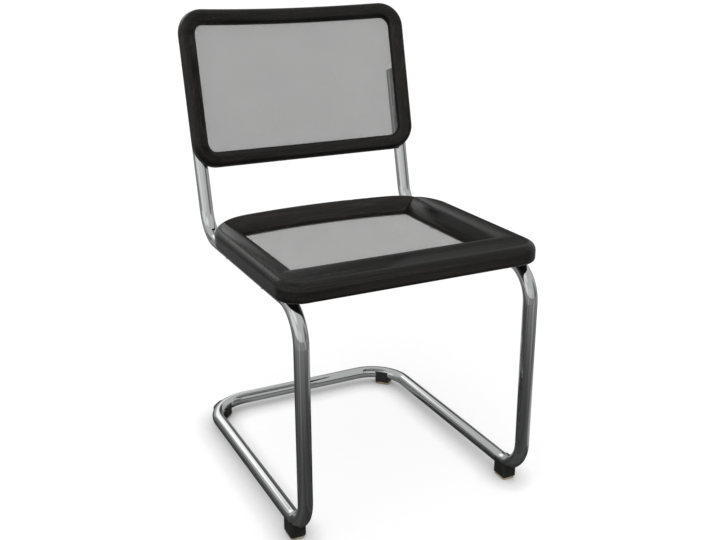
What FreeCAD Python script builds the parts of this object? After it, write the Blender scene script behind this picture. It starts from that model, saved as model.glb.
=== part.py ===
import FreeCAD, Part
import math
import os

from FreeCAD import Vector

# Cantilever dining chair. Millimetres, +Z up. The sitter faces -Y and +X is on the sitter's left.
# While it is built, Y is zero at the centre of the front legs. At the end it is moved so that
# the origin lies on the floor under the middle of the chair.

# Tube
TUBE_DIAMETER = 25.0
TUBE_WALL = 2.0
TUBE_SPACING = 421.0
FRONT_FLOOR_GAP = 18.0
REAR_FLOOR_GAP = 10.0
SEAT_RUN_HEIGHT = 412.0
BASE_DEPTH = 512.0
SEAT_RUN_LENGTH = 436.5
UPRIGHT_LENGTH = 282.0
BACK_LEAN = 13.0
FOOT_BEND = 60.0
KNEE_BEND = 60.0
REAR_CORNER_BEND = 78.0
UPRIGHT_BEND = 60.0

# Plugs in the upper tube ends
PLUG_LENGTH = 18.0
PLUG_DOME = 3.5
PLUG_CLEARANCE = 0.2

# Floor glides and their soles
GLIDE_LENGTH = 34.0
GLIDE_WALL = 2.2
GLIDE_WRAP = 6.0
GLIDE_FOOT_WIDTH = 27.0
GLIDE_CORNER = 6.0
GLIDE_SHOULDER = 4.0
SOLE_THICKNESS = 5.0
SOLE_INSET = 1.5
PEG_DIAMETER = 6.0
PEG_HEIGHT = 5.0
PEG_CLEARANCE = 0.2
FRONT_GLIDE_SETBACK = 48.0
REAR_GLIDE_TURN = 45.0

# Seat frame
SEAT_OVERHANG = 13.0
SEAT_LET_IN = 6.0
SEAT_DEPTH = 423.0
SEAT_THICKNESS = 35.5
SEAT_REAR_BOW = 29.0
SEAT_FRONT_CORNER = 40.0
SEAT_REAR_CORNER = 105.0
SEAT_SIDE_RAIL = 63.0
SEAT_FRONT_RAIL = 105.0
SEAT_REAR_RAIL = 36.0
SEAT_OUTER_ROUND = 15.0
SEAT_LOWER_ROUND = 8.0
SEAT_SIDE_CREST = 17.5
SEAT_FRONT_CREST = 54.0
SEAT_REAR_CREST = 17.0
SEAT_DISH_DEPTH = 26.0
SEAT_REAR_DISH_BULGE = 3.0
SEAT_FRONT_DROP = 4.0
SEAT_OPENING_CORNER = 8.0

# Seat net and the batten that clamps it from below
SEAT_NET_THICKNESS = 1.2
SEAT_RABBET_WIDTH = 14.0
SEAT_RABBET_DEPTH = 3.6
SEAT_BATTEN_WIDTH = 11.0
NET_EDGE_CLEARANCE = 0.5

# Back frame, along the uprights from the bend's corner point
BACK_OVERHANG = 3.0
BACK_HEIGHT = 260.0
BACK_ABOVE_TUBE = 116.0
BACK_RADIUS = 770.0
BACK_CORNER = 33.0
BACK_MEMBER_WIDTH = 29.0
BACK_MEMBER_DEPTH = 23.0
BACK_FRONT_ROUND = 10.0
BACK_REAR_ROUND = 6.0
BACK_LET_IN = 1.0

# Back net and its spline
BACK_NET_THICKNESS = 1.2
BACK_RABBET_WIDTH = 5.5
BACK_SPLINE_WIDTH = 4.0
BACK_SPLINE_DEPTH = 5.0

# Dowels in the frame joints
SEAT_DOWEL_DIAMETER = 8.0
SEAT_DOWEL_LENGTH = 30.0
SEAT_DOWEL_INSET = 8.0
SEAT_DOWEL_PITCH = 13.0
SEAT_DOWEL_DEPTH = 23.0
BACK_DOWEL_DIAMETER = 6.0
BACK_DOWEL_LENGTH = 30.0
BACK_DOWEL_PITCH = 11.0

# Bolts that hold the seat frame and the back frame on the tube
SEAT_BOLT_DIAMETER = 5.0
SEAT_BOLT_FRONT = 150.0
SEAT_BOLT_REAR = 325.0
SEAT_BOLT_BITE = 14.0
BACK_BOLT_DIAMETER = 4.0
BACK_BOLT_INSET = 22.0
BACK_BOLT_BITE = 13.0
BOLT_CLEARANCE = 0.3
THREAD_GAP = 0.05
INSERT_WALL = 1.5
HEAD_WIDTH_RATIO = 1.9
HEAD_HEIGHT_RATIO = 0.45
SOCKET_RATIO = 0.6
WASHER_RIM = 1.5
WASHER_THICKNESS = 0.8
WASHER_BITE = 1.0

TUBE_R = TUBE_DIAMETER / 2
BORE_R = TUBE_R - TUBE_WALL
FLOOR_RUN_HEIGHT = REAR_FLOOR_GAP + TUBE_R
BASE_SLOPE = (FRONT_FLOOR_GAP - REAR_FLOOR_GAP) / BASE_DEPTH
HALF_SPACING = TUBE_SPACING / 2
LEAN = math.radians(BACK_LEAN)
UP = Vector(0, 0, 1)
MIRROR_POINT = Vector(0, 0, 0)
MIRROR_NORMAL = Vector(1, 0, 0)

SEAT_HALF = HALF_SPACING + TUBE_R + SEAT_OVERHANG
SEAT_WIDTH = 2 * SEAT_HALF
SEAT_LOW = SEAT_RUN_HEIGHT + TUBE_R - SEAT_LET_IN
SEAT_TOP = SEAT_LOW + SEAT_THICKNESS
OPENING_HALF = SEAT_HALF - SEAT_SIDE_RAIL
REAR_OUTER_R = (SEAT_HALF ** 2 + SEAT_REAR_BOW ** 2) / (2 * SEAT_REAR_BOW)
REAR_AXIS_Y = SEAT_DEPTH - REAR_OUTER_R
REAR_INNER_R = REAR_OUTER_R - SEAT_REAR_RAIL
REAR_JOINT_Y = REAR_AXIS_Y + math.sqrt(REAR_INNER_R ** 2 - OPENING_HALF ** 2)
SEAT_NET_TOP = SEAT_LOW + SEAT_RABBET_DEPTH
MARGIN = 30.0

BACK_HALF = HALF_SPACING + BACK_OVERHANG
BACK_HIGH = UPRIGHT_LENGTH + BACK_ABOVE_TUBE
BACK_LOW = BACK_HIGH - BACK_HEIGHT
STILE_OFFSET = TUBE_R + BACK_MEMBER_DEPTH / 2 - BACK_LET_IN
RAIL_ANGLE = (math.asin(BACK_HALF / math.hypot(BACK_RADIUS, BACK_CORNER))
              - math.atan2(BACK_CORNER, BACK_RADIUS))
TANGENT = Vector(math.cos(RAIL_ANGLE), -math.sin(RAIL_ANGLE), 0)
NORMAL = Vector(math.sin(RAIL_ANGLE), math.cos(RAIL_ANGLE), 0)
BACK_AXIS_Y = -STILE_OFFSET + BACK_CORNER * math.sin(RAIL_ANGLE) - BACK_RADIUS * math.cos(RAIL_ANGLE)


def mirrored(shape):
    return shape.mirror(MIRROR_POINT, MIRROR_NORMAL)


def flipped(point):
    return Vector(-point.x, point.y, point.z)


def line(a, b):
    return Part.LineSegment(a, b).toShape()


def face_through(points):
    return Part.Face(Part.makePolygon(points + [points[0]]))


def tipped(shape):
    """Everything on the tube is built level and then tipped back, as the front glides are taller."""
    turned = shape.copy()
    hinge = Vector(0, BASE_DEPTH, FLOOR_RUN_HEIGHT)
    turned.rotate(hinge, Vector(1, 0, 0), -math.degrees(math.atan(BASE_SLOPE)))
    return turned


def rounded_path(points, radii):
    """Straight runs joined by arcs that are tangent to both."""
    edges = []
    start = points[0]
    for index, radius in enumerate(radii, 1):
        corner = points[index]
        into = (corner - points[index - 1]).normalize()
        out = (points[index + 1] - corner).normalize()
        turn = into.getAngle(out)
        reach = radius * math.tan(turn / 2)
        first = corner - into * reach
        last = corner + out * reach
        inward = (out - into).normalize()
        middle = corner + inward * (radius / math.cos(turn / 2) - radius)
        edges.append(line(start, first))
        edges.append(Part.Arc(first, middle, last).toShape())
        start = last
    edges.append(line(start, points[-1]))
    return Part.Wire(edges)


def pipe(path, radius):
    first = path.OrderedEdges[0]
    begin = first.valueAt(first.FirstParameter)
    heading = first.tangentAt(first.FirstParameter)
    ring = Part.Wire([Part.Circle(begin, heading, radius).toShape()])
    return path.makePipeShell([ring], True, False)


def frame_path():
    top_y = SEAT_RUN_LENGTH + UPRIGHT_LENGTH * math.sin(LEAN)
    top_z = SEAT_RUN_HEIGHT + UPRIGHT_LENGTH * math.cos(LEAN)
    half = [
        Vector(HALF_SPACING, top_y, top_z),
        Vector(HALF_SPACING, SEAT_RUN_LENGTH, SEAT_RUN_HEIGHT),
        Vector(HALF_SPACING, 0, SEAT_RUN_HEIGHT),
        Vector(HALF_SPACING, 0, FLOOR_RUN_HEIGHT),
        Vector(HALF_SPACING, BASE_DEPTH, FLOOR_RUN_HEIGHT),
    ]
    other = [flipped(point) for point in reversed(half)]
    bends = [UPRIGHT_BEND, KNEE_BEND, FOOT_BEND, REAR_CORNER_BEND]
    return rounded_path(half + other, bends + bends[::-1])


# Back parts are built upright, on the upright's own axis, and then leaned.

def lean_back(shape):
    leaned = shape.copy()
    leaned.rotate(Vector(0, 0, 0), Vector(1, 0, 0), -BACK_LEAN)
    leaned.translate(Vector(0, SEAT_RUN_LENGTH, SEAT_RUN_HEIGHT))
    return leaned


def cylinder(radius, height, base, direction):
    return Part.makeCylinder(radius, height, base, direction)


def end_plug():
    top = UPRIGHT_LENGTH
    shaft = cylinder(BORE_R - PLUG_CLEARANCE, PLUG_LENGTH, Vector(HALF_SPACING, 0, top - PLUG_LENGTH), UP)
    dome_r = (TUBE_R ** 2 + PLUG_DOME ** 2) / (2 * PLUG_DOME)
    ball = Part.makeSphere(dome_r, Vector(HALF_SPACING, 0, top + PLUG_DOME - dome_r))
    above = cylinder(TUBE_R, PLUG_DOME, Vector(HALF_SPACING, 0, top), UP)
    return lean_back(shaft.fuse(ball.common(above)).removeSplitter())


def upright_edges(solid):
    return [e for e in solid.Edges if abs(e.tangentAt(e.FirstParameter).z) > 0.5]


def rounded_block(half_x, half_y, corner, low, high):
    block = Part.makeBox(2 * half_x, 2 * half_y, high - low, Vector(-half_x, -half_y, low))
    return block.makeFillet(corner, upright_edges(block))


def set_down(shape, x, y, heading):
    placed = shape.copy()
    placed.rotate(Vector(0, 0, 0), UP, heading)
    placed.translate(Vector(x, y, 0))
    return placed


def gap_under_tube(y):
    return REAR_FLOOR_GAP + (BASE_DEPTH - y) * BASE_SLOPE


def glide_peg(radius, gap):
    top = gap + PEG_HEIGHT
    return cylinder(radius, top - SOLE_THICKNESS, Vector(0, 0, SOLE_THICKNESS), UP)


def glide_section(gap):
    """Half-open saddle seen along the tube: a foot that widens to the tube's sides."""
    half_top = TUBE_R + GLIDE_WALL
    half_foot = GLIDE_FOOT_WIDTH / 2
    shoulder = SOLE_THICKNESS + GLIDE_SHOULDER
    top = gap + TUBE_R + GLIDE_WRAP
    return [
        Vector(-half_foot, 0, SOLE_THICKNESS),
        Vector(half_foot, 0, SOLE_THICKNESS),
        Vector(half_top, 0, shoulder),
        Vector(half_top, 0, top),
        Vector(-half_top, 0, top),
        Vector(-half_top, 0, shoulder),
    ]


def straight_glide(gap):
    section = glide_section(gap)
    prism = face_through(section).extrude(Vector(0, GLIDE_LENGTH, 0))
    prism.translate(Vector(0, -GLIDE_LENGTH / 2, 0))
    return prism.common(rounded_block(section[2].x, GLIDE_LENGTH / 2, GLIDE_CORNER, 0, section[3].z))


def curved_glide(gap):
    """The same saddle, bent round the rear corner of the base."""
    section = glide_section(gap)
    half_top = section[2].x
    top = section[3].z
    outline = [Vector(-half_top, 0, 0), Vector(half_top, 0, 0), Vector(half_top, 0, top), Vector(-half_top, 0, top)]
    centre = Vector(-REAR_CORNER_BEND, 0, 0)
    sweep = math.degrees(GLIDE_LENGTH / REAR_CORNER_BEND)
    prism = face_through(section).revolve(centre, UP, sweep)
    plan = face_through(outline).revolve(centre, UP, sweep)
    body = prism.common(plan.makeFillet(GLIDE_CORNER, upright_edges(plan)))
    body.rotate(centre, UP, -sweep / 2)
    return body


def glide_places():
    """The two glides on the sitter's left: name, x, y, heading in degrees and body."""
    turn = math.radians(REAR_GLIDE_TURN)
    rear_x = HALF_SPACING - REAR_CORNER_BEND * (1 - math.sin(turn))
    rear_y = BASE_DEPTH - REAR_CORNER_BEND * (1 - math.cos(turn))
    return [
        ("front", HALF_SPACING, FRONT_GLIDE_SETBACK, 0.0, straight_glide),
        ("rear", rear_x, rear_y, 90.0 - REAR_GLIDE_TURN, curved_glide),
    ]


def glide_sole():
    half_x = GLIDE_FOOT_WIDTH / 2 - SOLE_INSET
    half_y = GLIDE_LENGTH / 2 - SOLE_INSET
    return rounded_block(half_x, half_y, GLIDE_CORNER - SOLE_INSET, 0, SOLE_THICKNESS)


def dished_arc(outer, inner):
    """Arc that leaves the crest level and falls by the dish depth at the inner edge."""
    run = abs(outer - inner)
    radius = (run ** 2 + SEAT_DISH_DEPTH ** 2) / (2 * SEAT_DISH_DEPTH)
    turn = math.asin(run / radius) / 2 if radius > run else math.pi / 4
    side = 1 if inner > outer else -1
    middle = outer + side * radius * math.sin(turn)
    height = SEAT_TOP - radius * (1 - math.cos(turn))
    return middle, height


def bulged_middle(crest_r, inner_r, low):
    """Middle of the short arc from the rear rail's crest down to its inner edge."""
    run = crest_r - inner_r
    drop = SEAT_TOP - low
    chord = math.hypot(run, drop)
    middle_r = (crest_r + inner_r) / 2 - SEAT_REAR_DISH_BULGE * drop / chord
    middle_z = (SEAT_TOP + low) / 2 + SEAT_REAR_DISH_BULGE * run / chord
    return middle_r, middle_z


def seat_plan(grow, low, high, corner_front, corner_rear):
    """Opening of the seat frame, widened all round by grow, as a block between two heights."""
    half = OPENING_HALF + grow
    front = SEAT_FRONT_RAIL - grow
    rear_r = REAR_INNER_R + grow
    return curved_back_block(half, front, rear_r, low, high, corner_front, corner_rear)


def curved_back_block(half, front, rear_r, low, high, corner_front, corner_rear):
    side_y = REAR_AXIS_Y + math.sqrt(rear_r ** 2 - half ** 2)
    a = Vector(-half, front, low)
    b = Vector(half, front, low)
    c = Vector(half, side_y, low)
    d = Vector(-half, side_y, low)
    bow = Part.Arc(c, Vector(0, REAR_AXIS_Y + rear_r, low), d).toShape()
    outline = Part.Wire([line(a, b), line(b, c), bow, line(d, a)])
    block = Part.Face(outline).extrude(Vector(0, 0, high - low))
    middle_y = (front + side_y) / 2
    block = block.makeFillet(corner_front, [e for e in upright_edges(block) if e.CenterOfMass.y < middle_y])
    return block.makeFillet(corner_rear, [e for e in upright_edges(block) if e.CenterOfMass.y > middle_y])


def level_edges(solid, height):
    return [e for e in solid.Edges if abs(e.BoundBox.ZMin - height) < 0.01
            and abs(e.BoundBox.ZMax - height) < 0.01]


def seat_blank():
    """Outer shape of the seat frame, still closed in the middle."""
    block = curved_back_block(SEAT_HALF, 0, REAR_OUTER_R, SEAT_LOW, SEAT_TOP,
                              SEAT_FRONT_CORNER, SEAT_REAR_CORNER)
    roll_r = (SEAT_FRONT_CREST ** 2 + SEAT_FRONT_DROP ** 2) / (2 * SEAT_FRONT_DROP)
    turn = math.asin(SEAT_FRONT_CREST / roll_r) / 2
    crest = Vector(-SEAT_WIDTH, SEAT_FRONT_CREST, SEAT_TOP)
    middle = Vector(-SEAT_WIDTH, SEAT_FRONT_CREST - roll_r * math.sin(turn),
                    SEAT_TOP - roll_r * (1 - math.cos(turn)))
    edge = Vector(-SEAT_WIDTH, 0, SEAT_TOP - SEAT_FRONT_DROP)
    corner = Vector(-SEAT_WIDTH, 0, SEAT_TOP)
    scoop = Part.Wire([Part.Arc(crest, middle, edge).toShape(), line(edge, corner), line(corner, crest)])
    block = block.cut(Part.Face(scoop).extrude(Vector(2 * SEAT_WIDTH, 0, 0)))
    upper = [e for e in block.Edges if e.BoundBox.ZMin > SEAT_TOP - SEAT_FRONT_DROP - 0.01
             and (e.BoundBox.YLength > 0.01 or abs(e.BoundBox.YMin) < 0.01)]
    block = block.makeFillet(SEAT_OUTER_ROUND, upper)
    return block.makeFillet(SEAT_LOWER_ROUND, level_edges(block, SEAT_LOW))


def seat_dish():
    """Space that hollows the inner sides of the four rails down towards the net."""
    low = SEAT_TOP - SEAT_DISH_DEPTH
    high = SEAT_TOP + MARGIN

    crest = SEAT_HALF - SEAT_SIDE_CREST
    mid_x, mid_z = dished_arc(crest, OPENING_HALF)
    back_y = -MARGIN
    across = Part.Wire([
        Part.Arc(Vector(-crest, back_y, SEAT_TOP), Vector(-mid_x, back_y, mid_z),
                 Vector(-OPENING_HALF, back_y, low)).toShape(),
        line(Vector(-OPENING_HALF, back_y, low), Vector(OPENING_HALF, back_y, low)),
        Part.Arc(Vector(OPENING_HALF, back_y, low), Vector(mid_x, back_y, mid_z),
                 Vector(crest, back_y, SEAT_TOP)).toShape(),
        line(Vector(crest, back_y, SEAT_TOP), Vector(crest, back_y, high)),
        line(Vector(crest, back_y, high), Vector(-crest, back_y, high)),
        line(Vector(-crest, back_y, high), Vector(-crest, back_y, SEAT_TOP)),
    ])
    sides = Part.Face(across).extrude(Vector(0, SEAT_DEPTH + 2 * MARGIN, 0))

    mid_y, mid_z = dished_arc(SEAT_FRONT_CREST, SEAT_FRONT_RAIL)
    far = SEAT_DEPTH + MARGIN
    side_x = -SEAT_HALF
    along = Part.Wire([
        Part.Arc(Vector(side_x, SEAT_FRONT_CREST, SEAT_TOP), Vector(side_x, mid_y, mid_z),
                 Vector(side_x, SEAT_FRONT_RAIL, low)).toShape(),
        line(Vector(side_x, SEAT_FRONT_RAIL, low), Vector(side_x, far, low)),
        line(Vector(side_x, far, low), Vector(side_x, far, high)),
        line(Vector(side_x, far, high), Vector(side_x, SEAT_FRONT_CREST, high)),
        line(Vector(side_x, SEAT_FRONT_CREST, high), Vector(side_x, SEAT_FRONT_CREST, SEAT_TOP)),
    ])
    front = Part.Face(along).extrude(Vector(SEAT_WIDTH, 0, 0))

    crest_r = REAR_OUTER_R - SEAT_REAR_CREST
    mid_r, mid_z = bulged_middle(crest_r, REAR_INNER_R, low)
    near_r = REAR_INNER_R - SEAT_DEPTH
    turned = Part.Wire([
        Part.Arc(Vector(REAR_INNER_R, 0, low), Vector(mid_r, 0, mid_z),
                 Vector(crest_r, 0, SEAT_TOP)).toShape(),
        line(Vector(crest_r, 0, SEAT_TOP), Vector(crest_r, 0, high)),
        line(Vector(crest_r, 0, high), Vector(near_r, 0, high)),
        line(Vector(near_r, 0, high), Vector(near_r, 0, low)),
        line(Vector(near_r, 0, low), Vector(REAR_INNER_R, 0, low)),
    ])
    sweep = 2 * math.degrees(math.asin(SEAT_HALF / near_r))
    rear = Part.Face(turned)
    rear.rotate(Vector(0, 0, 0), UP, 90 - sweep / 2)
    rear = rear.revolve(Vector(0, 0, 0), UP, sweep)
    rear.translate(Vector(0, REAR_AXIS_Y, 0))
    return sides.common(front).common(rear)


def seat_frame_blank():
    frame = seat_blank().cut(seat_dish())
    opening = seat_plan(0, SEAT_LOW - MARGIN, SEAT_TOP + MARGIN, SEAT_OPENING_CORNER, SEAT_OPENING_CORNER)
    rabbet = seat_plan(SEAT_RABBET_WIDTH, SEAT_LOW - MARGIN, SEAT_NET_TOP,
                       SEAT_OPENING_CORNER, SEAT_OPENING_CORNER)
    return frame.cut(opening).cut(rabbet)


def seat_net():
    grow = SEAT_RABBET_WIDTH - NET_EDGE_CLEARANCE
    return seat_plan(grow, SEAT_NET_TOP - SEAT_NET_THICKNESS, SEAT_NET_TOP,
                     SEAT_OPENING_CORNER, SEAT_OPENING_CORNER)


def seat_batten():
    grow = SEAT_RABBET_WIDTH - NET_EDGE_CLEARANCE
    top = SEAT_NET_TOP - SEAT_NET_THICKNESS
    outer = seat_plan(grow, SEAT_LOW, top, SEAT_OPENING_CORNER, SEAT_OPENING_CORNER)
    inner = seat_plan(grow - SEAT_BATTEN_WIDTH, SEAT_LOW - MARGIN, top + MARGIN,
                      SEAT_OPENING_CORNER, SEAT_OPENING_CORNER)
    return outer.cut(inner)


def seat_dowels():
    height = SEAT_TOP - SEAT_DOWEL_DEPTH
    dowels = []
    for joint in (SEAT_FRONT_RAIL, REAR_JOINT_Y):
        for step in (0, 1):
            x = OPENING_HALF + SEAT_DOWEL_INSET + step * SEAT_DOWEL_PITCH
            base = Vector(x, joint - SEAT_DOWEL_LENGTH / 2, height)
            dowel = cylinder(SEAT_DOWEL_DIAMETER / 2, SEAT_DOWEL_LENGTH, base, Vector(0, 1, 0))
            dowels += [dowel, mirrored(dowel)]
    return dowels


def seat_slab(low_y, high_y):
    return Part.makeBox(2 * SEAT_WIDTH, high_y - low_y, SEAT_THICKNESS + 2 * MARGIN,
                        Vector(-SEAT_WIDTH, low_y, SEAT_LOW - MARGIN))


# Bolts are drawn along +Z from the tube's surface at zero, with the head below.

def bolt_fittings(diameter, tube_gap, bite):
    """Bolt, saddle washer and insert for one fixing, and the holes that they need."""
    radius = diameter / 2
    head_r = diameter * HEAD_WIDTH_RATIO / 2
    head_h = diameter * HEAD_HEIGHT_RATIO
    seat_z = -tube_gap - WASHER_THICKNESS
    insert_z = tube_gap + WASHER_BITE
    shank = cylinder(radius, insert_z + bite - seat_z, Vector(0, 0, seat_z), UP)
    dome_r = (head_r ** 2 + head_h ** 2) / (2 * head_h)
    ball = Part.makeSphere(dome_r, Vector(0, 0, seat_z - head_h + dome_r))
    head = cylinder(head_r, head_h, Vector(0, 0, seat_z - head_h), UP).common(ball)
    socket_r = radius * SOCKET_RATIO
    hexagon = [Vector(socket_r * math.cos(math.radians(60 * k)),
                      socket_r * math.sin(math.radians(60 * k)), seat_z - head_h) for k in range(6)]
    socket = face_through(hexagon).extrude(Vector(0, 0, head_h * SOCKET_RATIO))
    bolt = shank.fuse(head).removeSplitter().cut(socket)

    washer = cylinder(head_r + WASHER_RIM, WASHER_THICKNESS + tube_gap, Vector(0, 0, seat_z), UP)
    washer = washer.cut(cylinder(radius + BOLT_CLEARANCE, 4 * tube_gap, Vector(0, 0, -2 * tube_gap), UP))

    insert_r = radius + INSERT_WALL
    insert = cylinder(insert_r, bite, Vector(0, 0, insert_z), UP)
    insert = insert.cut(cylinder(radius + THREAD_GAP, bite, Vector(0, 0, insert_z), UP))

    tube_hole = cylinder(radius + BOLT_CLEARANCE, 4 * tube_gap, Vector(0, 0, -2 * tube_gap), UP)
    wood_hole = cylinder(insert_r, insert_z + bite, Vector(0, 0, 0), UP)
    return {"bolt": bolt, "washer": washer, "insert": insert, "tube_hole": tube_hole, "wood_hole": wood_hole}


def seat_fixings():
    fittings = []
    for y in (SEAT_BOLT_FRONT, SEAT_BOLT_REAR):
        fitting = bolt_fittings(SEAT_BOLT_DIAMETER, TUBE_R, SEAT_BOLT_BITE)
        run = cylinder(TUBE_R, 8 * TUBE_R, Vector(0, -4 * TUBE_R, 0), Vector(0, 1, 0))
        fitting["washer"] = fitting["washer"].cut(run)
        for shape in fitting.values():
            shape.translate(Vector(HALF_SPACING, y, SEAT_RUN_HEIGHT))
        fittings.append(fitting)
        fittings.append({name: mirrored(shape) for name, shape in fitting.items()})
    return fittings


def back_fixings():
    fittings = []
    low = BACK_LOW + BACK_CORNER + BACK_BOLT_INSET
    high = UPRIGHT_LENGTH - PLUG_LENGTH - BACK_BOLT_INSET
    for z in (low, high):
        fitting = bolt_fittings(BACK_BOLT_DIAMETER, TUBE_R, BACK_BOLT_BITE)
        for shape in fitting.values():
            shape.rotate(Vector(0, 0, 0), Vector(1, 0, 0), 90)
        upright = cylinder(TUBE_R, 8 * TUBE_R, Vector(0, 0, -4 * TUBE_R), UP)
        fitting["washer"] = fitting["washer"].cut(upright)
        for shape in fitting.values():
            shape.translate(Vector(HALF_SPACING, 0, z))
        leaned = {name: lean_back(shape) for name, shape in fitting.items()}
        fittings.append(leaned)
        fittings.append({name: mirrored(shape) for name, shape in leaned.items()})
    return fittings


def section_face(points, place):
    """Face from lines and arcs given as (outward, rearward) pairs; an arc has three pairs."""
    edges = []
    for item in points:
        spots = [place(out, rear) for out, rear in item]
        edges.append(line(*spots) if len(spots) == 2 else Part.Arc(*spots).toShape())
    return Part.Face(Part.Wire(edges))


def member_section():
    """Back member: rounded at the front, squarer behind, with the net's rabbet at its inner edge."""
    half = BACK_MEMBER_WIDTH / 2
    deep = BACK_MEMBER_DEPTH / 2
    front_r = BACK_FRONT_ROUND
    rear_r = BACK_REAR_ROUND
    ledge = -half + BACK_RABBET_WIDTH
    front_bulge = front_r * (1 - math.sqrt(0.5))
    rear_bulge = rear_r * (1 - math.sqrt(0.5))
    return [
        [(-half, 0), (-half, -deep + front_r)],
        [(-half, -deep + front_r), (-half + front_bulge, -deep + front_bulge), (-half + front_r, -deep)],
        [(-half + front_r, -deep), (half - front_r, -deep)],
        [(half - front_r, -deep), (half - front_bulge, -deep + front_bulge), (half, -deep + front_r)],
        [(half, -deep + front_r), (half, deep - rear_r)],
        [(half, deep - rear_r), (half - rear_bulge, deep - rear_bulge), (half - rear_r, deep)],
        [(half - rear_r, deep), (ledge, deep)],
        [(ledge, deep), (ledge, 0)],
        [(ledge, 0), (-half, 0)],
    ]


def spline_section():
    outer = -BACK_MEMBER_WIDTH / 2 + BACK_RABBET_WIDTH
    inner = outer - BACK_SPLINE_WIDTH
    near = BACK_NET_THICKNESS
    far = near + BACK_SPLINE_DEPTH
    return [
        [(inner, near), (outer, near)],
        [(outer, near), (outer, far)],
        [(outer, far), (inner, far)],
        [(inner, far), (inner, near)],
    ]


def ring_parts(section):
    """Top rail, bottom rail and right-hand stile of the back ring, with the given section."""
    axis = Vector(0, BACK_AXIS_Y, 0)
    end = axis + NORMAL * BACK_RADIUS

    def at_rail_end(height, side):
        return lambda out, rear: end + NORMAL * rear + Vector(0, 0, height + side * out)

    def at_stile(out, rear):
        return end + TANGENT * (BACK_CORNER + out) + NORMAL * rear + Vector(0, 0, BACK_LOW + BACK_CORNER)

    rails = []
    for height, side in ((BACK_HIGH, 1), (BACK_LOW, -1)):
        face = section_face(section, at_rail_end(height, side))
        rail = face.revolve(axis, UP, 2 * math.degrees(RAIL_ANGLE))
        hub = end + Vector(0, 0, height - side * BACK_CORNER)
        corner = face.revolve(hub, NORMAL, 90 * side)
        rails.append(rail.fuse([corner, mirrored(corner)]).removeSplitter())
    straight = BACK_HIGH - BACK_LOW - 2 * BACK_CORNER
    stile = section_face(section, at_stile).extrude(Vector(0, 0, straight))
    return rails[0], rails[1], stile


def back_net():
    """Thin net that follows the curve of the rails and runs straight on across the stiles."""
    reach = BACK_CORNER - BACK_MEMBER_WIDTH / 2 + BACK_RABBET_WIDTH - NET_EDGE_CLEARANCE
    axis = Vector(0, BACK_AXIS_Y, 0)

    def spots(offset):
        end = axis + NORMAL * (BACK_RADIUS + offset)
        tip = end + TANGENT * reach
        return end, tip, axis + Vector(0, BACK_RADIUS + offset, 0)

    end_a, tip_a, mid_a = spots(0)
    end_b, tip_b, mid_b = spots(BACK_NET_THICKNESS)
    curve = Part.Wire([
        line(flipped(tip_a), flipped(end_a)),
        Part.Arc(flipped(end_a), mid_a, end_a).toShape(),
        line(end_a, tip_a),
        line(tip_a, tip_b),
        line(tip_b, end_b),
        Part.Arc(end_b, mid_b, flipped(end_b)).toShape(),
        line(flipped(end_b), flipped(tip_b)),
        line(flipped(tip_b), flipped(tip_a)),
    ])
    low = BACK_LOW + BACK_CORNER - reach
    high = BACK_HIGH - BACK_CORNER + reach
    sheet = Part.Face(curve).extrude(Vector(0, 0, high - low))
    sheet.translate(Vector(0, 0, low))
    corners = [e for e in sheet.Edges if e.Length < 2 * BACK_NET_THICKNESS]
    return sheet.makeFillet(reach, corners)


def back_dowels():
    dowels = []
    end = Vector(0, BACK_AXIS_Y, 0) + NORMAL * BACK_RADIUS + TANGENT * BACK_CORNER
    for joint in (BACK_LOW + BACK_CORNER, BACK_HIGH - BACK_CORNER):
        for step in (-0.5, 0.5):
            base = end + TANGENT * (step * BACK_DOWEL_PITCH) - NORMAL * BACK_DOWEL_DIAMETER
            base = base + Vector(0, 0, joint - BACK_DOWEL_LENGTH / 2)
            dowel = cylinder(BACK_DOWEL_DIAMETER / 2, BACK_DOWEL_LENGTH, base, UP)
            dowels += [dowel, mirrored(dowel)]
    return dowels


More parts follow.
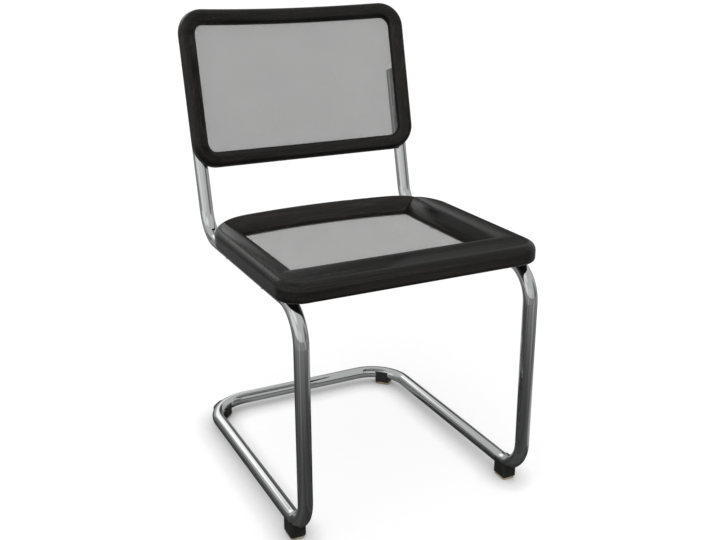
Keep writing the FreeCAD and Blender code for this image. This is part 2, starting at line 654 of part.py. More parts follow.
def build():
    path = frame_path()
    outer = pipe(path, TUBE_R)
    bore = pipe(path, BORE_R)
    nodes = {}

    seat_fix = seat_fixings()
    back_fix = back_fixings()
    tube_holes = [fit["tube_hole"] for fit in seat_fix + back_fix]
    nodes["tube_frame"] = outer.cut(bore).cut(tube_holes)

    plug = end_plug()
    nodes["end_plug_left"] = plug
    nodes["end_plug_right"] = mirrored(plug)

    frame = seat_frame_blank().cut(outer)
    dowels = seat_dowels()
    frame = frame.cut(dowels + [fit["wood_hole"] for fit in seat_fix])
    side = frame.common(seat_slab(SEAT_FRONT_RAIL, REAR_JOINT_Y))
    nodes["seat_front_rail"] = frame.common(seat_slab(-MARGIN, SEAT_FRONT_RAIL))
    nodes["seat_rear_rail"] = frame.common(seat_slab(REAR_JOINT_Y, SEAT_DEPTH + MARGIN))
    nodes["seat_left_rail"] = max(side.Solids, key=lambda s: s.CenterOfMass.x)
    nodes["seat_right_rail"] = min(side.Solids, key=lambda s: s.CenterOfMass.x)
    nodes["seat_dowels"] = Part.makeCompound(dowels)
    nodes["seat_net"] = seat_net()
    nodes["seat_net_batten"] = seat_batten()

    back_holes = [fit["wood_hole"] for fit in back_fix]
    pins = [lean_back(dowel) for dowel in back_dowels()]
    top, bottom, stile = [lean_back(part) for part in ring_parts(member_section())]
    beyond = cylinder(TUBE_R, 2 * PLUG_DOME, Vector(HALF_SPACING, 0, UPRIGHT_LENGTH), UP)
    grooves = [outer, lean_back(beyond), lean_back(mirrored(beyond))]
    nodes["back_top_rail"] = top.cut(pins)
    nodes["back_bottom_rail"] = bottom.cut(grooves + pins)
    nodes["back_left_stile"] = stile.cut(grooves + pins + back_holes)
    nodes["back_right_stile"] = mirrored(stile).cut(grooves + pins + back_holes)
    nodes["back_dowels"] = Part.makeCompound(pins)
    nodes["back_net"] = lean_back(back_net())
    over, under, side = ring_parts(spline_section())
    nodes["back_net_spline"] = lean_back(over.fuse([under, side, mirrored(side)]).removeSplitter())

    for place, fix in (("seat", seat_fix), ("back", back_fix)):
        for piece in ("bolt", "washer", "insert"):
            nodes[place + "_" + piece + "s"] = Part.makeCompound([fit[piece] for fit in fix])
    nodes = {name: tipped(shape) for name, shape in nodes.items()}

    outer = tipped(outer)
    for name, x, y, heading, make_body in glide_places():
        gap = gap_under_tube(y)
        body = set_down(make_body(gap), x, y, heading).cut(outer)
        body = max(body.Solids, key=lambda s: s.Volume)
        peg = set_down(glide_peg(PEG_DIAMETER / 2, gap), x, y, heading)
        hole = set_down(glide_peg(PEG_DIAMETER / 2 + PEG_CLEARANCE, gap), x, y, heading)
        body = body.fuse(peg).removeSplitter()
        sole = set_down(glide_sole(), x, y, heading)
        nodes["tube_frame"] = nodes["tube_frame"].cut([hole, mirrored(hole)])
        nodes["glide_" + name + "_left"] = body
        nodes["glide_" + name + "_right"] = mirrored(body)
        nodes["sole_" + name + "_left"] = sole
        nodes["sole_" + name + "_right"] = mirrored(sole)
    return nodes


def one_shape(shape):
    return shape.Solids[0] if len(shape.Solids) == 1 else shape


def main():
    os.makedirs("parts", exist_ok=True)
    nodes = build()
    box = Part.makeCompound(list(nodes.values())).optimalBoundingBox(False)
    to_origin = Vector(0, -(box.YMin + box.YMax) / 2, 0)
    for name, shape in nodes.items():
        placed = one_shape(shape).copy()
        placed.translate(to_origin)
        placed.exportStep("parts/" + name + ".step")
        print(name, len(placed.Solids), "solids", round(placed.Volume, 1), "mm3", "valid", placed.isValid())
    print("size", round(box.XLength, 2), round(box.YLength, 2), round(box.ZLength, 2), "floor", round(box.ZMin, 3))
    print("moved along Y by", round(to_origin.y, 3))


main()
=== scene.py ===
import math

import bmesh
import bpy
from mathutils import Matrix, Vector


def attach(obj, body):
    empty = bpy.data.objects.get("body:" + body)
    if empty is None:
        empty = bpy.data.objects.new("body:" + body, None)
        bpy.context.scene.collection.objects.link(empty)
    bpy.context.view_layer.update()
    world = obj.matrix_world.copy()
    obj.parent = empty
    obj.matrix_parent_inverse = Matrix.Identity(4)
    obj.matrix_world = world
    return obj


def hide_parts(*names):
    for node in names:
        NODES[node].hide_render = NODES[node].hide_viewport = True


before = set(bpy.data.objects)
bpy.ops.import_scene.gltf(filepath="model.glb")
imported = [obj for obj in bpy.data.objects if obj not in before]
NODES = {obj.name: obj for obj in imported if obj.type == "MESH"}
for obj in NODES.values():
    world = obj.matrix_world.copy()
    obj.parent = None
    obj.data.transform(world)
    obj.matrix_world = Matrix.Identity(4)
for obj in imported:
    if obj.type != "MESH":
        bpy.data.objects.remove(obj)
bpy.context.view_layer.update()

# Sizes in metres, the same as the chair's own. The chair is drawn level, with Y zero at the
# front legs, and is then tipped back on its floor runs and moved to stand over the origin.
MOVED_ALONG_Y = -0.273156
BASE_DEPTH = 0.512
BASE_DROP = 0.008
BASE_SLOPE = math.atan(BASE_DROP / BASE_DEPTH)
FLOOR_RUN_HEIGHT = 0.0225

SEAT_RUN_LENGTH = 0.4365
SEAT_RUN_HEIGHT = 0.412
BACK_LEAN = math.radians(13.0)

SEAT_NET_HEIGHT = 0.4215
SEAT_NET_HALF_WIDTH = 0.1865
SEAT_NET_FRONT = 0.0915
SEAT_NET_REAR_AXIS = -0.55178
SEAT_NET_REAR_RADIUS = 0.95228
SEAT_NET_CORNER = 0.008
SEAT_NET_SAG = 0.0015

BACK_NET_RADIUS = 0.7706
BACK_NET_AXIS_Y = -0.763545
BACK_NET_HALF_ANGLE = math.radians(13.6286)
BACK_NET_STRAIGHT_END = 0.0235
BACK_NET_CORNER = BACK_NET_STRAIGHT_END
BACK_NET_LOW = 0.1475
BACK_NET_HIGH = 0.3885

NET_PITCH = 0.00125

# The camera, at the photograph's viewing angle. Its place and turns are given for the level
# chair and are tipped with it. The lens and its sensor are in millimetres, and the shift is a
# share of the picture's width. TOWARDS_CAMERA is the level way from the chair to the camera.
CAMERA_PLACE = (-0.716, -1.224, 0.929)
CAMERA_HEADING = math.radians(-26.17)
CAMERA_DIP = math.radians(18.9)
CAMERA_ROLL = math.radians(-0.26)
CAMERA_LENS = 47.81
CAMERA_SENSOR = 36.0
CAMERA_SHIFT = -0.0009
TOWARDS_CAMERA = (-0.443, -0.896)

STUDIO_RADIUS = 8.0

# Painted reflections, as glowing patches on the studio walls that light nothing: west, east, low
# and high in degrees from straight behind the chair and above the floor, then the softness of
# the edges and the light that the patch adds.
PAINTED_REFLECTION_PATCHES = (
    (-22, 19, 19, 37, 2, 0.75),      # window behind the chair
    (-20, 2, 27, 38, 3, 0.35),       # its brighter upper pane
    (23, 46, -8, 12, 3, -0.32),      # dark gap to the window's right
    (24, 46, 12, 31, 3, -0.54),      # darker screen above that gap
    (-46, -25, -12, 15, 3, -0.34),   # dark gap to the window's left
    (-145, -88, 36, 62, 5, 0.45),    # soft box above the camera's left
    (-118, -70, -6, 30, 6, 0.45),    # pale side wall
    (-176, -112, -8, 22, 8, 0.28),   # pale wall behind the camera
    (150, 176, -8, 20, 6, 0.12),     # fainter wall at the camera's right
    (112, 142, -8, 28, 5, -0.36),    # doorway beyond it
)


# Placing

def placed(name, data):
    item = bpy.data.objects.new(name, data)
    bpy.context.collection.objects.link(item)
    return item


def made_from(mesh, name, material):
    data = bpy.data.meshes.new(name)
    mesh.to_mesh(data)
    mesh.free()
    data.materials.append(material)
    return placed(name, data)


def into_place():
    """Tips what was drawn level back on the floor runs and moves it over the origin."""
    hinge = Matrix.Translation((0.0, BASE_DEPTH, FLOOR_RUN_HEIGHT))
    tip = hinge @ Matrix.Rotation(-BASE_SLOPE, 4, "X") @ hinge.inverted()
    return Matrix.Translation((0.0, MOVED_ALONG_Y, 0.0)) @ tip


def onto_uprights():
    lean = Matrix.Rotation(-BACK_LEAN, 4, "X")
    return Matrix.Translation((0.0, SEAT_RUN_LENGTH, SEAT_RUN_HEIGHT)) @ lean


def photo_camera():
    lens = bpy.data.cameras.new("photo_camera")
    lens.sensor_fit = "HORIZONTAL"
    lens.sensor_width = CAMERA_SENSOR
    lens.lens = CAMERA_LENS
    lens.shift_y = CAMERA_SHIFT
    lens.clip_end = 100.0
    heading = Matrix.Rotation(CAMERA_HEADING, 4, "Z")
    dip = Matrix.Rotation(math.pi / 2 - CAMERA_DIP, 4, "X")
    roll = Matrix.Rotation(CAMERA_ROLL, 4, "Z")
    camera = placed("photo_camera", lens)
    camera.matrix_world = into_place() @ Matrix.Translation(CAMERA_PLACE) @ heading @ dip @ roll
    bpy.context.scene.camera = camera


# Finishes

class Nodes:
    """Short ways of adding nodes to a tree and of joining them."""

    def __init__(self, tree):
        self.tree = tree

    def node(self, kind, **settings):
        made = self.tree.nodes.new(kind)
        for name, value in settings.items():
            setattr(made, name, value)
        return made

    def feed(self, socket, value):
        if isinstance(value, bpy.types.NodeSocket):
            self.tree.links.new(value, socket)
        else:
            socket.default_value = value

    def node_fed(self, kind, **inputs):
        made = self.node(kind)
        for name, value in inputs.items():
            self.feed(made.inputs[name], value)
        return made

    def math(self, operation, first, second=0.0):
        step = self.node("ShaderNodeMath", operation=operation)
        for socket, value in zip(step.inputs, (first, second)):
            self.feed(socket, value)
        return step.outputs["Value"]

    def times(self, first, second):
        return self.math("MULTIPLY", first, second)

    def plus(self, first, second):
        return self.math("ADD", first, second)

    def minus(self, first, second):
        return self.math("SUBTRACT", first, second)

    def larger(self, first, second):
        return self.math("MAXIMUM", first, second)

    def blend(self, share, first, second):
        """Shader that is the first where share is 0 and the second where it is 1."""
        both = self.node_fed("ShaderNodeMixShader", Fac=share)
        for socket, shader in zip(both.inputs[1:], (first, second)):
            self.feed(socket, shader.outputs[0])
        return both


class Finish(Nodes):
    """One surface finish: a Principled shader and short ways of feeding it."""

    def __init__(self, name):
        self.material = bpy.data.materials.new(name)
        self.material.use_nodes = True
        super().__init__(self.material.node_tree)
        self.shader = self.tree.nodes["Principled BSDF"]
        self.place = self.node("ShaderNodeTexCoord").outputs["Object"]

    def set(self, **values):
        for name, value in values.items():
            self.feed(self.shader.inputs[name.replace("_", " ")], value)

    def split(self, where):
        return self.node_fed("ShaderNodeSeparateXYZ", Vector=where).outputs

    def stretched(self, along, across, through, turn=(0.0, 0.0, 0.0), source=None):
        """Coordinates in metres, turned and then scaled along X, Y and Z."""
        turned = self.node("ShaderNodeMapping", vector_type="TEXTURE")
        self.feed(turned.inputs["Vector"], source or self.place)
        turned.inputs["Rotation"].default_value = turn
        scaled = self.node("ShaderNodeMapping")
        self.feed(scaled.inputs["Vector"], turned.outputs["Vector"])
        scaled.inputs["Scale"].default_value = (along, across, through)
        return scaled.outputs["Vector"]

    def noise(self, where, scale=1.0, detail=3.0, roughness=0.5, distortion=0.0):
        cloud = self.node("ShaderNodeTexNoise")
        self.feed(cloud.inputs["Vector"], where)
        for name, value in (("Scale", scale), ("Detail", detail), ("Roughness", roughness),
                            ("Distortion", distortion)):
            cloud.inputs[name].default_value = value
        return cloud.outputs["Fac"]

    def even_noise(self, per_metre, detail=3.0, roughness=0.5):
        """Noise that isn't stretched, with so many clouds to the metre."""
        where = self.stretched(per_metre, per_metre, per_metre)
        return self.noise(where, detail=detail, roughness=roughness)

    def between(self, value, low, high, to_low=0.0, to_high=1.0):
        """Value from low to high, spread smoothly to the range from to_low to to_high."""
        spread = self.node("ShaderNodeMapRange", interpolation_type="SMOOTHSTEP")
        for name, number in (("Value", value), ("From Min", low), ("From Max", high),
                             ("To Min", to_low), ("To Max", to_high)):
            self.feed(spread.inputs[name], number)
        return spread.outputs["Result"]

    def near_floor(self, full, none, share=1.0):
        """share up to the height full, fading to nothing at the height none."""
        return self.between(self.split(self.place)["Z"], full, none, share, 0.0)

    def tint(self, value, *stops):
        """Colours at places from 0 to 1: each stop is (place, (red, green, blue))."""
        ramp = self.node("ShaderNodeValToRGB")
        self.feed(ramp.inputs["Fac"], value)
        points = ramp.color_ramp.elements
        while len(points) < len(stops):
            points.new(0.5)
        for point, (place, colour) in zip(points, stops):
            point.position = place
            point.color = (*colour, 1.0)
        return ramp.outputs["Color"]

    def mix(self, share, first, second):
        """Colour that is the first where share is 0 and the second where it is 1."""
        blended = self.node("ShaderNodeMix", data_type="RGBA")
        self.feed(blended.inputs["Factor"], share)
        colours = [s for s in blended.inputs if s.type == "RGBA"]
        for socket, colour in zip(colours, (first, second)):
            self.feed(socket, colour if isinstance(colour, bpy.types.NodeSocket) else (*colour, 1.0))
        return [s for s in blended.outputs if s.type == "RGBA"][0]

    def bump(self, height, depth, strength, over=None):
        dent = self.node("ShaderNodeBump")
        self.feed(dent.inputs["Height"], height)
        dent.inputs["Distance"].default_value = depth
        dent.inputs["Strength"].default_value = strength
        if over is not None:
            self.feed(dent.inputs["Normal"], over)
        return dent.outputs["Normal"]


def shade_of(colour, times, lift=0.0):
    return tuple(times * part + lift for part in colour)


def chrome():
    """Bright plate with a slight haze, scratched dull close to the floor."""
    finish = Finish("chrome_plate")
    plate = (0.56, 0.565, 0.57)
    worn_plate = (0.36, 0.36, 0.35)
    haze = finish.even_noise(9, detail=4.0, roughness=0.6)
    waves = finish.even_noise(38, detail=1.0)
    scratches = finish.noise(finish.stretched(900, 60, 900), detail=2.0)
    worn = finish.times(finish.between(scratches, 0.55, 0.75), finish.near_floor(0.012, 0.07))
    gloss = finish.between(haze, 0.35, 0.75, 0.025, 0.08)
    finish.set(
        Metallic=1.0,
        Base_Color=finish.mix(finish.times(worn, 0.5), plate, worn_plate),
        Roughness=finish.plus(gloss, finish.times(worn, 0.22)),
        Normal=finish.bump(waves, 0.0001, 0.35),
    )
    return finish.material


def black_wood(name, turn, painted_brightness=1.0):
    """Black stain on beech: grain, pores and a satin lacquer, along the member's own length."""
    finish = Finish(name)
    pore_black = (0.003, 0.003, 0.003)
    stain_stops = (
        (0.34, (0.0036, 0.0032, 0.0029)),
        (0.52, (0.0088, 0.0079, 0.0072)),
        (0.70, (0.0210, 0.0184, 0.0162)),
    )
    bands = finish.noise(finish.stretched(2, 95, 95, turn), detail=3.0, distortion=0.4)
    fibres = finish.noise(finish.stretched(14, 420, 420, turn), detail=4.0, roughness=0.6)
    pores = finish.noise(finish.stretched(90, 1500, 1500, turn), detail=1.0)
    open_pores = finish.between(pores, 0.60, 0.72)
    grain = finish.plus(finish.times(bands, 0.6), finish.times(fibres, 0.4))
    # The multiplier lightens the same stain for members that take more light: painted light, not a different
    # wood.
    stain = finish.tint(grain, *[(place, shade_of(colour, painted_brightness)) for place, colour in stain_stops])
    lacquer = finish.between(grain, 0.35, 0.65, 0.16, 0.27)
    rubbed = finish.between(finish.even_noise(8, detail=5.0, roughness=0.65), 0.4, 0.8)
    furrows = finish.bump(bands, 0.0004, 0.6)
    surface = finish.minus(finish.times(fibres, 0.5), open_pores)
    finish.set(
        Base_Color=finish.mix(finish.times(open_pores, 0.7), stain, pore_black),
        Roughness=finish.plus(lacquer, finish.times(rubbed, 0.06)),
        Specular_IOR_Level=0.22,
        Normal=finish.bump(surface, 0.00006, 0.6, over=furrows),
    )
    return finish.material


def woven_net():
    """Fine square weave: round threads that pass over and under, with open holes between."""
    finish = Finish("woven_net")
    # Half a thread's width and its soft edge, as shares of the pitch
    thread_half = 0.235
    thread_blur = 0.02
    duller_thread = (0.127, 0.127, 0.125)
    paler_thread = (0.162, 0.162, 0.159)
    threads = finish.node("ShaderNodeUVMap", uv_map="threads").outputs["UV"]
    across, along, _ = finish.split(threads)
    steps = [finish.math("DIVIDE", value, NET_PITCH) for value in (across, along)]
    counts = [finish.math("FLOOR", step) for step in steps]
    off_centre = [finish.math("ABSOLUTE", finish.minus(finish.math("FRACT", step), 0.5)) for step in steps]
    covers = [finish.between(off, thread_half - thread_blur, thread_half + thread_blur, 1.0, 0.0)
              for off in off_centre]
    parity = finish.math("PINGPONG", finish.plus(counts[0], counts[1]), 1.0)
    rounds = [finish.larger(finish.minus(1.0, finish.times(off, 1.0 / thread_half)), 0.0)
              for off in off_centre]
    over = finish.plus(finish.times(rounds[0], parity), finish.times(rounds[1], finish.minus(1.0, parity)))
    shade = finish.noise(finish.stretched(11, 11, 11, source=threads), detail=3.0)
    finish.set(
        Base_Color=finish.tint(shade, (0.3, duller_thread), (0.7, paler_thread)),
        Roughness=finish.between(over, 0.0, 1.0, 0.75, 0.5),
        Alpha=finish.larger(covers[0], covers[1]),
        Specular_IOR_Level=0.15,
        Normal=finish.bump(over, 0.0003, 0.6),
    )
    return finish.material


def moulded_black(name, colour, grain_per_metre, rough):
    """Moulded plastic with a fine spark-eroded grain, and scuffs close to the floor."""
    finish = Finish(name)
    scuffed = shade_of(colour, 4.0, lift=0.01)
    grain = finish.even_noise(grain_per_metre, detail=2.0)
    patches = finish.even_noise(60)
    scuffs = finish.times(finish.between(patches, 0.5, 0.7), finish.near_floor(0.004, 0.016))
    finish.set(
        Base_Color=finish.mix(finish.times(scuffs, 0.6), colour, scuffed),
        Roughness=finish.between(patches, 0.3, 0.7, rough - 0.06, rough + 0.08),
        Normal=finish.bump(grain, 0.00008, 0.5),
    )
    return finish.material


def felt():
    """Pale felt, darker where it meets the floor."""
    finish = Finish("felt_sole")
    darker_at_floor = (0.12, 0.10, 0.07)
    darker_wool = (0.30, 0.25, 0.155)
    paler_wool = (0.50, 0.44, 0.31)
    fibres = finish.noise(finish.stretched(1400, 1400, 700), detail=3.0, roughness=0.7)
    wool = finish.tint(finish.even_noise(220, detail=2.0), (0.3, darker_wool), (0.7, paler_wool))
    finish.set(
        # Darker towards the floor, over the lowest 2.2 millimetres.
        Base_Color=finish.mix(finish.near_floor(0.0, 0.0022, 0.35), wool, darker_at_floor),
        Roughness=finish.between(fibres, 0.3, 0.7, 0.85, 1.0),
        Sheen_Weight=0.4,
        Normal=finish.bump(fibres, 0.0005, 0.8),
    )
    return finish.material


def turned_metal(name, colour, rough):
    """Bolts, washers and inserts: plated metal with fine turning marks."""
    finish = Finish(name)
    marks = finish.noise(finish.stretched(350, 350, 3500), detail=2.0)
    stains = finish.even_noise(120)
    finish.set(
        Metallic=1.0,
        Base_Color=finish.mix(finish.between(stains, 0.45, 0.8), colour, shade_of(colour, 0.6)),
        Roughness=finish.between(marks, 0.3, 0.7, rough - 0.08, rough + 0.1),
        Normal=finish.bump(marks, 0.00003, 0.5),
    )
    return finish.material


def bare_dowel():
    finish = Finish("bare_dowel")
    late_wood = (0.36, 0.22, 0.10)
    early_wood = (0.52, 0.35, 0.19)
    fibres = finish.noise(finish.stretched(30, 900, 900, (0, 0, math.pi / 2)), detail=3.0)
    finish.set(
        Base_Color=finish.tint(fibres, (0.3, late_wood), (0.7, early_wood)),
        Roughness=finish.between(fibres, 0.3, 0.7, 0.55, 0.75),
        Normal=finish.bump(fibres, 0.00006, 0.5),
    )
    return finish.material


def dress(finish, *names):
    for name in names:
        for place in NODES[name].material_slots:
            place.material = finish


# Nets

def finished_piece(name, mesh, finish):
    piece = made_from(mesh, name, finish)
    for face in piece.data.polygons:
        face.use_smooth = True
    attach(piece, "root")
    return piece


def lay_threads(mesh, across, along):
    """UV map in metres that the weave follows. across and along give a vertex's two measures."""
    layer = mesh.loops.layers.uv.new("threads")
    for face in mesh.faces:
        for loop in face.loops:
            loop[layer].uv = (across(loop.vert.co), along(loop.vert.co))


def corner_verts(mesh, other):
    """The four outermost vertices along X and along the other axis, which is named y or z."""
    return [max(mesh.verts, key=lambda v: side * v.co.x + end * getattr(v.co, other))
            for side in (-1, 1) for end in (-1, 1)]


def seat_net_sheet(finish):
    mesh = bmesh.new()
    bmesh.ops.create_grid(mesh, x_segments=40, y_segments=32, size=1.0)
    for vert in mesh.verts:
        x = vert.co.x * SEAT_NET_HALF_WIDTH
        rear = SEAT_NET_REAR_AXIS + math.sqrt(SEAT_NET_REAR_RADIUS ** 2 - x ** 2)
        share = (vert.co.y + 1) / 2
        sag = SEAT_NET_SAG * (1 - vert.co.x ** 2) * (1 - vert.co.y ** 2)
        vert.co = (x, SEAT_NET_FRONT + share * (rear - SEAT_NET_FRONT), SEAT_NET_HEIGHT - sag)
    bmesh.ops.bevel(mesh, geom=corner_verts(mesh, "y"), offset=SEAT_NET_CORNER, offset_type="OFFSET",
                    segments=5, profile=0.5, affect="VERTICES", material=-1)
    lay_threads(mesh, lambda co: co.x, lambda co: co.y)
    bmesh.ops.transform(mesh, matrix=into_place(), verts=mesh.verts)
    piece = finished_piece("seat_net_weave", mesh, finish)
    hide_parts("seat_net")


def back_net_sheet(finish):
    mesh = bmesh.new()
    axis = Vector((0.0, BACK_NET_AXIS_Y, 0.0))
    low = mesh.verts.new(axis + Vector((0.0, BACK_NET_RADIUS, BACK_NET_LOW)))
    high = mesh.verts.new(axis + Vector((0.0, BACK_NET_RADIUS, BACK_NET_HIGH)))
    edge = mesh.edges.new((low, high))
    bmesh.ops.rotate(mesh, cent=axis, matrix=Matrix.Rotation(-BACK_NET_HALF_ANGLE, 3, "Z"), verts=mesh.verts)
    first = list(mesh.verts)
    spun = bmesh.ops.spin(mesh, geom=[edge, *first], cent=axis, axis=(0, 0, 1), steps=40,
                          angle=2 * BACK_NET_HALF_ANGLE, use_merge=False, use_duplicate=False)
    last = [item for item in spun["geom_last"] if isinstance(item, bmesh.types.BMVert)]
    for ends, side in ((first, 1), (last, -1)):
        rim = [e for e in mesh.edges if e.verts[0] in ends and e.verts[1] in ends]
        made = bmesh.ops.extrude_edge_only(mesh, edges=rim)["geom"]
        outward = Vector((side * math.cos(BACK_NET_HALF_ANGLE), -math.sin(BACK_NET_HALF_ANGLE), 0.0))
        bmesh.ops.translate(mesh, vec=outward * BACK_NET_STRAIGHT_END,
                            verts=[item for item in made if isinstance(item, bmesh.types.BMVert)])
    half_height = (BACK_NET_HIGH - BACK_NET_LOW) / 2
    upright = [e for e in mesh.edges if abs(e.verts[0].co.z - e.verts[1].co.z) > half_height]
    bmesh.ops.subdivide_edges(mesh, edges=upright, cuts=19, use_grid_fill=True)
    bmesh.ops.recalc_face_normals(mesh, faces=mesh.faces)
    bmesh.ops.bevel(mesh, geom=corner_verts(mesh, "z"), offset=BACK_NET_CORNER, offset_type="OFFSET",
                    segments=6, profile=0.5, affect="VERTICES", material=-1)

    def along_curve(spot):
        """Way from the net's middle to the spot, along the arc and then along the straight end."""
        turn = math.atan2(spot.x, spot.y - BACK_NET_AXIS_Y)
        if abs(turn) <= BACK_NET_HALF_ANGLE:
            return turn * BACK_NET_RADIUS
        arc_end = axis + Vector((math.copysign(math.sin(BACK_NET_HALF_ANGLE), turn),
                                 math.cos(BACK_NET_HALF_ANGLE), 0.0)) * BACK_NET_RADIUS
        beyond = (spot.xy - arc_end.xy).length
        return math.copysign(BACK_NET_HALF_ANGLE * BACK_NET_RADIUS + beyond, turn)

    lay_threads(mesh, along_curve, lambda co: co.z)
    bmesh.ops.transform(mesh, matrix=into_place() @ onto_uprights(), verts=mesh.verts)
    piece = finished_piece("back_net_weave", mesh, finish)
    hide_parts("back_net")


# Studio

def seen_share(nodes, share):
    """share for what the camera, gloss or glass sees, and nothing for what only lights the chair."""
    path = nodes.node("ShaderNodeLightPath").outputs
    looked_at = nodes.larger(path["Is Camera Ray"], path["Is Glossy Ray"])
    return nodes.times(nodes.larger(looked_at, path["Is Transmission Ray"]), share)


def pale_floor():
    """Pale floor with the chair's shadow, real in its matt share and painted by ambient occlusion in its
    glow. It is clear when seen from below.
    """
    material = bpy.data.materials.new("pale_floor")
    material.use_nodes = True
    nodes = Nodes(material.node_tree)
    nodes.tree.nodes.clear()
    # Painted contact shadow: ambient occlusion darkens the floor's glow close to the chair, on top of the
    # real shadow in its matt share.
    near = nodes.node("ShaderNodeAmbientOcclusion", samples=8)
    near.inputs["Distance"].default_value = 0.045
    painted_contact_shade = nodes.node_fed("ShaderNodeGamma", Color=near.outputs["Color"], Gamma=1.15)
    white = nodes.node_fed("ShaderNodeEmission", Color=painted_contact_shade.outputs["Color"], Strength=1.2)
    matt = nodes.node_fed("ShaderNodeBsdfDiffuse", Color=(0.8, 0.8, 0.8, 1.0))
    from_above = nodes.blend(seen_share(nodes, 0.62), matt, white)
    clear = nodes.node("ShaderNodeBsdfTransparent")
    side = nodes.node("ShaderNodeNewGeometry").outputs["Backfacing"]
    one_way = nodes.blend(side, from_above, clear)
    nodes.node_fed("ShaderNodeOutputMaterial", Surface=one_way.outputs[0])
    mesh = bmesh.new()
    bmesh.ops.create_grid(mesh, x_segments=8, y_segments=8, size=30.0)
    made_from(mesh, "pale_floor", material)


def mirrored_only(name, mesh, material):
    """A painted reflection: a studio card or wall that only glossy surfaces mirror. It lights and hides
    nothing.
    """
    card = made_from(mesh, name, material)
    for rays in ("camera", "diffuse", "transmission", "volume_scatter", "shadow"):
        setattr(card, "visible_" + rays, False)


def painted_reflection_card():
    """Painted reflection of the ground, which only glossy surfaces show: dark before the chair and far off,
    darkest close to it as painted shade, pale under and behind it.
    """
    finish = Finish("painted_reflection_card")
    under_chair = 0.55
    just_above_floor = 0.0004
    spot = finish.split(finish.place)
    x, y = spot["X"], spot["Y"]
    before = finish.plus(finish.times(x, TOWARDS_CAMERA[0]), finish.times(y, TOWARDS_CAMERA[1]))
    far = finish.math("SQRT", finish.plus(finish.times(x, x), finish.times(y, y)))
    round_chair = finish.math("ARCTAN2", x, finish.times(y, -1.0))
    ring = finish.node_fed("ShaderNodeCombineXYZ", X=round_chair).outputs["Vector"]
    streaks = finish.between(finish.noise(ring, scale=3.0, detail=2.0), 0.42, 0.62, 0.75, 1.8)
    # Painted shade: darkest within under_chair of the chair, lighter out to 1.5 m, broken by streaks around
    # it.
    dark = finish.times(finish.between(far, under_chair, 1.5, 0.045, 0.26), streaks)
    behind = finish.times(finish.between(before, 0.10, 0.30, 1.0, 0.0),
                          finish.between(far, under_chair, 1.05, 1.0, 0.0))
    beside = finish.between(x, 0.30, 0.40)
    past_runs = finish.times(finish.between(y, 0.10, 0.18), finish.between(x, -0.16, -0.10))
    pale = finish.times(behind, finish.larger(beside, past_runs))
    finish.set(Base_Color=finish.plus(dark, finish.times(pale, 0.42)), Roughness=0.8)
    mesh = bmesh.new()
    bmesh.ops.create_circle(mesh, cap_ends=True, segments=64, radius=STUDIO_RADIUS)
    bmesh.ops.translate(mesh, vec=(0, 0, just_above_floor), verts=mesh.verts)
    mirrored_only("painted_reflection_card", mesh, finish.material)


def painted_reflection_walls():
    """Painted reflections for the chrome to mirror: grey studio walls that glow, lighter above, with soft
    boxes, windows and dark gaps.
    """
    finish = Finish("painted_reflection_walls")
    ray = finish.node("ShaderNodeVectorMath", operation="NORMALIZE")
    finish.feed(ray.inputs[0], finish.place)
    way = finish.split(ray.outputs["Vector"])
    rise = way["Z"]
    turn = finish.math("ARCTAN2", way["X"], way["Y"])

    def opening(value, start, end, slack):
        """1 from start to end, with soft edges."""
        opened = finish.between(value, start - slack, start + slack)
        still_open = finish.between(value, end - slack, end + slack, 1.0, 0.0)
        return finish.times(opened, still_open)

    # Painted reflection: a grey glow, lighter above, with the patches' bright and dark areas added; it
    # lights nothing.
    light = finish.between(rise, -0.05, 0.6, 0.50, 0.72)
    for west, east, low, high, soft, strength in PAINTED_REFLECTION_PATCHES:
        slack = math.radians(soft)
        width = opening(turn, math.radians(west), math.radians(east), slack)
        height = opening(rise, math.sin(math.radians(low)), math.sin(math.radians(high)), slack)
        light = finish.plus(light, finish.times(finish.times(width, height), strength))
    glow = finish.node_fed("ShaderNodeEmission", Strength=light)
    finish.feed(finish.tree.nodes["Material Output"].inputs["Surface"], glow.outputs[0])
    finish.tree.nodes.remove(finish.shader)
    mesh = bmesh.new()
    bmesh.ops.create_uvsphere(mesh, u_segments=48, v_segments=24, radius=STUDIO_RADIUS)
    mirrored_only("painted_reflection_walls", mesh, finish.material)


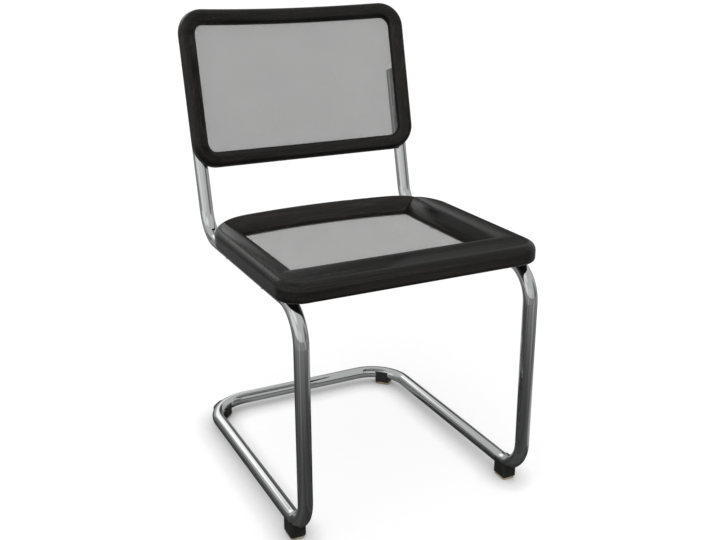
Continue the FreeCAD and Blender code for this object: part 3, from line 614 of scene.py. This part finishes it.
def studio_world():
    """White air that lights the chair at half the strength at which it is seen."""
    world = bpy.data.worlds.new("studio")
    bpy.context.scene.world = world
    world.use_nodes = True
    nodes = Nodes(world.node_tree)
    air = nodes.tree.nodes["Background"].inputs
    lighting = 0.5
    nodes.feed(air["Color"], (1.0, 1.0, 1.0, 1.0))
    nodes.feed(air["Strength"], nodes.plus(seen_share(nodes, 1.0 - lighting), lighting))


def lamp(name, strength, angle, direction):
    """Soft light from a direction, as wide as its angle in degrees."""
    light = bpy.data.lights.new(name, "SUN")
    light.energy = strength
    light.angle = math.radians(angle)
    sun = placed(name, light)
    sun.visible_glossy = False
    sun.matrix_world = Vector(direction).to_track_quat("Z", "Y").to_matrix().to_4x4()


def studio():
    studio_world()
    pale_floor()
    painted_reflection_card()
    painted_reflection_walls()
    lamp("key_softbox", 1.15, 50, (-0.5, -0.5, 0.9))
    lamp("top_softbox", 0.7, 90, (0.25, 0.2, 1.0))
    bpy.context.scene.view_settings.view_transform = "Standard"


def dress_chair():
    along_x = (0.0, 0.0, 0.0)
    along_y = (0.0, 0.0, math.pi / 2)
    along_z = (0.0, math.pi / 2, 0.0)
    dress(chrome(), "tube_frame")
    dress(black_wood("black_wood_across", along_x), "seat_front_rail", "back_top_rail", "back_bottom_rail")
    # The rear rail and the stiles are the same black wood, painted lighter for the light they take.
    dress(black_wood("black_wood_rear_rail_painted_lighter", along_x, 1.8), "seat_rear_rail")
    dress(black_wood("black_wood_fore_and_aft", along_y), "seat_left_rail", "seat_right_rail")
    dress(black_wood("black_wood_upright_painted_lighter", along_z, 1.4), "back_left_stile", "back_right_stile")
    dress(moulded_black("moulded_glide", (0.013, 0.014, 0.011), 900, 0.42),
          "glide_front_left", "glide_front_right", "glide_rear_left", "glide_rear_right")
    dress(moulded_black("moulded_plug", (0.011, 0.011, 0.011), 1200, 0.36),
          "end_plug_left", "end_plug_right")
    dress(moulded_black("clamping_strip", (0.015, 0.015, 0.015), 1500, 0.55),
          "seat_net_batten", "back_net_spline")
    dress(felt(), "sole_front_left", "sole_front_right", "sole_rear_left", "sole_rear_right")
    dress(turned_metal("plated_steel", (0.56, 0.57, 0.58), 0.30),
          "seat_bolts", "seat_washers", "back_bolts", "back_washers")
    dress(turned_metal("turned_brass", (0.55, 0.40, 0.16), 0.32), "seat_inserts", "back_inserts")
    dress(bare_dowel(), "seat_dowels", "back_dowels")
    net = woven_net()
    seat_net_sheet(net)
    back_net_sheet(net)


photo_camera()
dress_chair()
studio()
